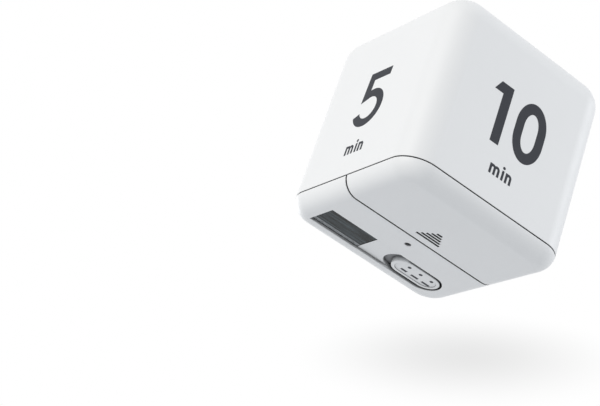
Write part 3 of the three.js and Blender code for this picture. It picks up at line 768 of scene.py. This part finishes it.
def make_tray():
    tray = body_block("base_tray", 0)
    trim(tray, (0, 0, DOOR_TOP), (0, 0, 1), RIM)
    trim(tray, (TRAY_EDGE, 0, 0), (1, 0, 0), RIM)
    partition = TRAY_EDGE - PARTITION_WALL
    cut(tray, trim(body_block("hollow", TRAY_WALL), (partition, 0, 0), (1, 0, 0)))
    cut_channel(tray)
    for side in (-1, 1):
        slot_x = (DOOR_EDGE - TONGUE_REACH - FIT_GAP, TRAY_EDGE + OVERRUN)
        tongue_y = around(side * TONGUE_Y, TONGUE_WIDTH + 2 * FIT_GAP)
        tongue_z = (DOOR_WALL - TONGUE_THICKNESS - FIT_GAP, DOOR_WALL + FIT_GAP)
        cut(tray, box(slot_x, tongue_y, tongue_z))
    finish_piece(tray, "housing", WHITE, skin=True)
    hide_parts("base_plate")
    room = trim(body_block("room", TRAY_WALL), (TRAY_EDGE, 0, 0), (1, 0, 0))
    beyond = box((TRAY_EDGE, BODY_HALF), (-BODY_HALF, BODY_HALF), (0, BODY_HALF))
    inner_part("battery_bay", "base_plate", add(room, beyond))


def make_door():
    door = body_block("door_shell", 0)
    trim(door, (0, 0, DOOR_TOP), (0, 0, 1), RIM)
    trim(door, (DOOR_EDGE, 0, 0), (-1, 0, 0), RIM)
    cut(door, body_block("hollow", DOOR_WALL))
    for side in (-1, 1):
        tongue_y = around(side * TONGUE_Y, TONGUE_WIDTH)
        tongue_x = around(DOOR_EDGE, 2 * TONGUE_REACH)
        add(door, box(tongue_x, tongue_y, (DOOR_WALL - TONGUE_THICKNESS, DOOR_WALL)))
        rib_y = sorted((side * RIB_Y, side * BODY_HALF))
        rib = box(around(RIB_X, RIB_LENGTH), rib_y, RIB_Z)
        add(door, combine(rib, body_block("inside", DOOR_WALL / 2), "INTERSECT"))
    for line in range(GRIP_LINES):
        length = GRIP_LONGEST - (GRIP_LONGEST - GRIP_SHORTEST) * line / (GRIP_LINES - 1)
        centre = (GRIP_FIRST + line * GRIP_PITCH, 0)
        cut(door, well("grip", GRIP_WIDTH, length, centre, GRIP_DEPTH, rim=GRIP_RIM, square=True))
    finish_piece(door, "battery_door", WHITE, skin=True)
    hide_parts("battery_door")


# Slider and window
def make_cap(dish_floor):
    """The light cap of the slider, with a shallow dish in it"""
    width = CHANNEL_WIDTH - 2 * SLOT_SIDE_GAP
    length = SLOT_LENGTH - SWITCH_TRAVEL - 2 * SLOT_GAP
    centre = (CHANNEL_X, SLOT_END - SLOT_GAP - length / 2)
    cap = stadium("slider_cap", width, length, centre, SLIDER_RECESS, CARRIER_LOW, CAP_ROUNDING)
    dish = stadium("dish", width - 2 * CAP_RIM, length - 2 * CAP_RIM, centre, -dish_floor, dish_floor)
    for vert in dish.data.vertices:
        if vert.co.z > 0:
            vert.co.x += (centre[0] - vert.co.x) * 2 * CAP_SINK / width
            vert.co.y += (centre[1] - vert.co.y) * 2 * CAP_SINK / length
    cut(cap, dish)
    finish_piece(cap, "switch_slider", WHITE)
    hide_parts("switch_slider")


def make_carrier():
    """The grey plate behind the cap, which hides the slot. Its grey, darker than the white moulding, is
    partly painted shade that makes the gaps round the cap look shaded
    """
    bm = bmesh.new()
    flat_oblong(bm, SLIDER_HIGH.x - SLIDER_LOW.x, SLIDER_HIGH.y - SLIDER_LOW.y)
    bmesh.ops.translate(bm, vec=(CHANNEL_X, (SLIDER_LOW.y + SLIDER_HIGH.y) / 2, 0), verts=bm.verts)
    raise_outline(bm, CARRIER_LOW, SLIDER_HIGH.z)
    round_edges(bm, upright_edges(bm), CARRIER_CORNER, CARRIER_STEPS)
    carrier = new_object("slider_carrier", bm)
    finish_piece(carrier, "switch_slider", CARRIER_SHADE_GREY)
    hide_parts("switch_slider")


def make_slider():
    dish_floor = SLIDER_RECESS + DISH_DEPTH
    make_cap(dish_floor)
    make_carrier()
    marks = (dish_floor - PRINT_RISE, dish_floor + PRINT_SINK)
    for number, y in enumerate(MARK_YS):
        name = f"slider_dot_{number}"
        dot = stadium(name, MARK_SIZE, MARK_SIZE, (MARK_X, y), *marks, steps=DOT_STEPS)
        finish_piece(dot, "switch_slider", INK)
    for number, (y, run) in enumerate(BAR_YS):
        dash = box(around(BAR_X, BAR_WIDTH), around(y, run), marks, f"slider_bar_{number}")
        finish_piece(dash, "switch_slider", INK)


def make_window():
    """A pale grey strip along one side of the display plate"""
    margin_x = (PANE_LOW.x, PANE_LOW.x + MARGIN_WIDTH)
    margin_z = (PANE_LOW.z - PRINT_RISE, PANE_LOW.z + PRINT_SINK)
    margin = box(margin_x, (PANE_LOW.y + WINDOW_LIP, PANE_HIGH.y), margin_z, "window_margin")
    finish_piece(margin, "housing", MARGIN_GREY)


# Cells
def turned(name, profile, foot, turn):
    """A round piece: the profile spun about Y, then turned and set down on its foot"""
    bm = bmesh.new()
    points = [bm.verts.new((radius, height, 0)) for radius, height in profile]
    chain = [bm.edges.new(pair) for pair in zip(points, points[1:])]
    bmesh.ops.spin(
        bm,
        geom=points + chain,
        cent=(0, 0, 0),
        axis=(0, 1, 0),
        angle=2 * math.pi,
        steps=CELL_STEPS,
        use_merge=True,
    )
    bmesh.ops.remove_doubles(bm, verts=bm.verts, dist=TINY)
    bmesh.ops.recalc_face_normals(bm, faces=bm.faces)
    bmesh.ops.rotate(bm, matrix=Matrix.Rotation(turn, 3, "Z"), verts=bm.verts)
    bmesh.ops.translate(bm, vec=foot, verts=bm.verts)
    return new_object(name, bm)


def make_cells():
    """Two cells side by side, opposite ways round: sleeve, collar, flat steel foot and steel tip"""
    for node_name, flipped in (("cell_a", False), ("cell_b", True)):
        low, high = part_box(node_name)
        foot = ((low.x + high.x) / 2, high.y if flipped else low.y, (low.z + high.z) / 2)
        turn = math.pi if flipped else 0
        for part, profile, slot, material in (
            ("sleeve", CELL_SLEEVE, "cell_sleeve", SLEEVE),
            ("collar", CELL_COLLAR, "cell_sleeve", COLLAR),
            ("foot", CELL_FOOT, "nickel", NICKEL),
            ("tip", CELL_TIP, "nickel", NICKEL),
        ):
            piece = turned(f"{node_name}_{part}", profile, foot, turn)
            finish_piece(piece, "housing", material)
            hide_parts(node_name)


# Numerals, drawn flat and then laid on their face
def flat_solid(bm, name):
    bmesh.ops.scale(bm, vec=(MM, MM, MM), verts=bm.verts)
    raise_outline(bm, -PRINT_SINK, PRINT_RISE)
    return new_object(name, bm)


def plate(*corners):
    bm = bmesh.new()
    bm.faces.new([bm.verts.new((across, up, 0)) for across, up in corners])
    return flat_solid(bm, "plate")


def bar(left, foot, right, top):
    return plate((left, foot), (right, foot), (right, top), (left, top))


def oval(centre, half_width, end_height, half_straight=0):
    """An ellipse, drawn out upright by twice half_straight"""
    bm = bmesh.new()
    flat_round(bm, 1, ROUND_STEPS)
    bmesh.ops.scale(bm, vec=(half_width, end_height, 1), verts=bm.verts)
    draw_out(bm, half_straight)
    bmesh.ops.translate(bm, vec=(*centre, 0), verts=bm.verts)
    return flat_solid(bm, "oval")


def deeper(piece):
    """Makes a cutter that reaches past both faces of what it cuts"""
    for vert in piece.data.vertices:
        vert.co.z *= CUTTER_STRETCH
    return piece


def ring(centre, outer, inner):
    return cut(oval(centre, *outer), deeper(oval(centre, *inner)))


def wedge(centre, first, last):
    """The sector between two directions, in degrees, of less than half a turn"""
    corners = [centre]
    for angle in (first, (first + last) / 2, last):
        turn = math.radians(angle)
        across = centre[0] + WEDGE_REACH * math.cos(turn)
        corners.append((across, centre[1] + WEDGE_REACH * math.sin(turn)))
    return deeper(plate(*corners))


def open_ring(centre, sizes, opening):
    """A ring with the sector between two directions left out"""
    return cut(ring(centre, *sizes), wedge(centre, *opening))


def arch(left, foot):
    """A half ring on two legs, as in the letters m and n"""
    bm = bmesh.new()
    centre = (left + UNIT_ARCH, foot + UNIT_X_HEIGHT - UNIT_ARCH, 0)
    reaches = (UNIT_ARCH - UNIT_STROKE, UNIT_ARCH)
    ends = [bm.verts.new((centre[0] + reach, centre[1], 0)) for reach in reaches]
    start = bm.edges.new(ends)
    bmesh.ops.spin(bm, geom=[*ends, start], cent=centre, axis=(0, 0, 1), angle=math.pi, steps=ARCH_STEPS)
    level = [e for e in bm.edges if all(abs(v.co.y - centre[1]) < TINY for v in e.verts)]
    legs = bmesh.ops.extrude_edge_only(bm, edges=level)["geom"]
    down = [v for v in legs if isinstance(v, bmesh.types.BMVert)]
    bmesh.ops.translate(bm, vec=(0, foot - centre[1], 0), verts=down)
    bmesh.ops.remove_doubles(bm, verts=bm.verts, dist=TINY)
    return flat_solid(bm, "arch")


def draw_zero(minutes):
    return ring((ZERO_ACROSS[minutes], ZERO_Z), ZERO_SIZE, ZERO_HOLE)


def draw_one():
    return plate(*ONE_OUTLINE)


def draw_five():
    bowl = open_ring(FIVE_CENTRE, FIVE_BOWL, FIVE_OPENING)
    add(bowl, plate(*FIVE_STEM))
    return add(bowl, plate(*FIVE_FLAG))


def draw_three():
    bowl = open_ring(THREE_LOW, THREE_LOW_BOWL, THREE_LOW_OPENING)
    add(bowl, open_ring(THREE_HIGH, THREE_HIGH_BOWL, THREE_HIGH_OPENING))
    return add(bowl, plate(*THREE_NUB))


def draw_six():
    return add(ring(SIX_CENTRE, *SIX_BOWL), plate(*SIX_STEM))


def draw_unit():
    """The unit under each number, with its lower left corner at the middle of the face"""
    hump = 2 * UNIT_ARCH - UNIT_STROKE
    word = arch(0, 0)
    add(word, arch(hump - UNIT_LAP, -UNIT_LAP))
    add(word, bar(-UNIT_LAP, -UNIT_LAP, UNIT_STROKE - UNIT_LAP, UNIT_X_HEIGHT))
    second = 2 * hump + UNIT_STROKE + UNIT_GAP
    add(word, bar(second, 0, second + UNIT_STROKE, UNIT_X_HEIGHT))
    add(word, oval((second + UNIT_STROKE / 2, UNIT_X_HEIGHT + UNIT_DOT_RISE), UNIT_DOT, UNIT_DOT))
    third = second + UNIT_I_TO_N
    add(word, arch(third, 0))
    return add(word, bar(third - UNIT_LAP, -UNIT_LAP, third + UNIT_STROKE - UNIT_LAP, UNIT_X_HEIGHT))


def lay_on_face(piece, name, outward):
    """Turns flat print, drawn across X and up Y, onto the side that faces outward"""
    outward = Vector(outward)
    up = Vector((0, 0, 1))
    turn = Matrix((up.cross(outward), up, outward)).transposed().to_4x4()
    piece.data.transform(Matrix.Translation(outward * BODY_HALF) @ turn)
    piece.name = name
    finish_piece(piece, "housing", INK)


def make_print():
    unit = draw_unit()
    sides = {
        "5": ((0, -1, 0), [draw_five()]),
        "10": ((1, 0, 0), [draw_one(), draw_zero("10")]),
        "30": ((0, 1, 0), [draw_three(), draw_zero("30")]),
        "60": ((-1, 0, 0), [draw_six(), draw_zero("60")]),
    }
    for minutes, (outward, digits) in sides.items():
        for place, digit in enumerate(digits):
            lay_on_face(digit, f"numeral_{minutes}_{place}", outward)
        across, up = UNIT_CORNERS[minutes]
        bm = copy_of(unit.data)
        bmesh.ops.translate(bm, vec=(across * MM, up * MM, 0), verts=bm.verts)
        lay_on_face(new_object("unit", bm), f"unit_{minutes}", outward)
    bpy.data.objects.remove(unit)


# Stage pieces and lamps
def shadowless(name, bm, material):
    """A piece of the stage that casts no shadow of its own"""
    piece = new_object(name, bm)
    piece.data.materials.append(material)
    piece.visible_shadow = False
    return piece


def floor_paper():
    """Paper that is clear from below, so that the underside stays in view, and white far out"""
    made = bpy.data.materials.new("floor_paper")
    tree = cleared_tree(made)
    end = node(tree, "ShaderNodeOutputMaterial")
    paper = node(tree, "ShaderNodeBsdfDiffuse", {"Color": FLOOR_COLOUR})
    white = node(tree, "ShaderNodeEmission")
    place = node(tree, "ShaderNodeTexCoord")
    reach = node(tree, "ShaderNodeVectorMath", operation="LENGTH")
    fade = map_range(tree, FLOOR_FADE, (0, 1), "SMOOTHSTEP")
    sheet = node(tree, "ShaderNodeMixShader")
    clear = node(tree, "ShaderNodeBsdfTransparent")
    sides = node(tree, "ShaderNodeNewGeometry")
    path = node(tree, "ShaderNodeLightPath")
    above = node(tree, "ShaderNodeMath", operation="SUBTRACT", use_clamp=True)
    pick = node(tree, "ShaderNodeMixShader")
    wire(
        tree,
        (place, "Object", reach, 0),
        (reach, "Value", fade, "Value"),
        (fade, "Result", sheet, "Fac"),
        (paper, "BSDF", sheet, 1),
        (white, "Emission", sheet, 2),
        (path, "Is Camera Ray", above, 0),
        (sides, "Backfacing", above, 1),
        (above, "Value", pick, "Fac"),
        (clear, "BSDF", pick, 1),
        (sheet, "Shader", pick, 2),
        (pick, "Shader", end, "Surface"),
    )
    return made


def make_floor():
    bm = bmesh.new()
    bmesh.ops.create_grid(bm, x_segments=1, y_segments=1, size=FLOOR_HALF_WIDTH)
    bmesh.ops.translate(bm, vec=(0, 0, -FLOOR_DROP), verts=bm.verts)
    floor = shadowless("floor", bm, floor_paper())


def painted_pool_shade():
    """Painted shadow: a grey see-through tint that only the camera sees, strongest at its centre"""
    made = bpy.data.materials.new("painted_pool_shade")
    tree = cleared_tree(made)
    end = node(tree, "ShaderNodeOutputMaterial")
    shade_tint = node(tree, "ShaderNodeBsdfTransparent")
    clear = node(tree, "ShaderNodeBsdfTransparent")
    place = node(tree, "ShaderNodeTexCoord")
    far = node(tree, "ShaderNodeVectorMath", {1: SHADE_CENTRE}, operation="DISTANCE")
    fade = map_range(tree, (0, SHADE_RADIUS), (1 - SHADE_DEPTH, 1), "SMOOTHSTEP")
    path = node(tree, "ShaderNodeLightPath")
    pick = node(tree, "ShaderNodeMixShader")
    wire(
        tree,
        (place, "Object", far, 0),
        (far, "Value", fade, "Value"),
        (fade, "Result", shade_tint, "Color"),
        (path, "Is Camera Ray", pick, "Fac"),
        (clear, "BSDF", pick, 1),
        (shade_tint, "BSDF", pick, 2),
        (pick, "Shader", end, "Surface"),
    )
    return made


def make_painted_shadow():
    """The faint pool of shade that the photograph shows below the lifted timer"""
    # The shade on this disk is painted by its material, not cast by the lamps
    bm = bmesh.new()
    bmesh.ops.create_circle(bm, cap_ends=True, segments=ROUND_STEPS, radius=SHADE_RADIUS)
    turn = Vector(SHADE_NORMAL).normalized().to_track_quat("Z", "Y").to_matrix()
    bmesh.ops.rotate(bm, matrix=turn, verts=bm.verts)
    bmesh.ops.translate(bm, vec=SHADE_CENTRE, verts=bm.verts)
    pool = shadowless("painted_shadow_disk", bm, painted_pool_shade())


def make_world():
    """Soft light all round, and plain white where the camera or a reflection sees it"""
    world = bpy.data.worlds.new("studio")
    bpy.context.scene.world = world
    tree = cleared_tree(world)
    end = node(tree, "ShaderNodeOutputWorld")
    glow = node(tree, "ShaderNodeBackground", {"Color": WORLD_TINT, "Strength": WORLD_LEVEL})
    white = node(tree, "ShaderNodeBackground", {"Color": PLAIN_WHITE, "Strength": 1})
    path = node(tree, "ShaderNodeLightPath")
    seen = node(tree, "ShaderNodeMath", operation="ADD", use_clamp=True)
    mirrored = node(tree, "ShaderNodeMath", operation="ADD", use_clamp=True)
    pick = node(tree, "ShaderNodeMixShader")
    wire(
        tree,
        (path, "Is Camera Ray", seen, 0),
        (path, "Is Glossy Ray", mirrored, 0),
        (path, "Is Transmission Ray", mirrored, 1),
        (mirrored, "Value", seen, 1),
        (seen, "Value", pick, "Fac"),
        (glow, "Background", pick, 1),
        (white, "Background", pick, 2),
        (pick, "Shader", end, "Surface"),
    )


def make_lamps():
    """Large square lamps, aimed at the middle of the body"""
    for name, (place, power, tint) in LAMPS.items():
        data = bpy.data.lights.new(name, "AREA")
        data.shape = "SQUARE"
        data.size = LAMP_SIZE
        data.energy = power
        data.color = tint
        lamp = bpy.data.objects.new(name, data)
        bpy.context.scene.collection.objects.link(lamp)
        aim = Vector((0, 0, BODY_HEIGHT / 2)) - Vector(place)
        lamp.rotation_mode = "QUATERNION"
        lamp.rotation_quaternion = aim.to_track_quat("-Z", "Y")
        lamp.location = place


make_camera()
dress_cad_nodes()
make_housing()
make_tray()
make_door()
make_slider()
make_window()
make_cells()
make_print()
make_floor()
make_painted_shadow()
make_world()
make_lamps()
bpy.context.scene.view_settings.view_transform = "Standard"
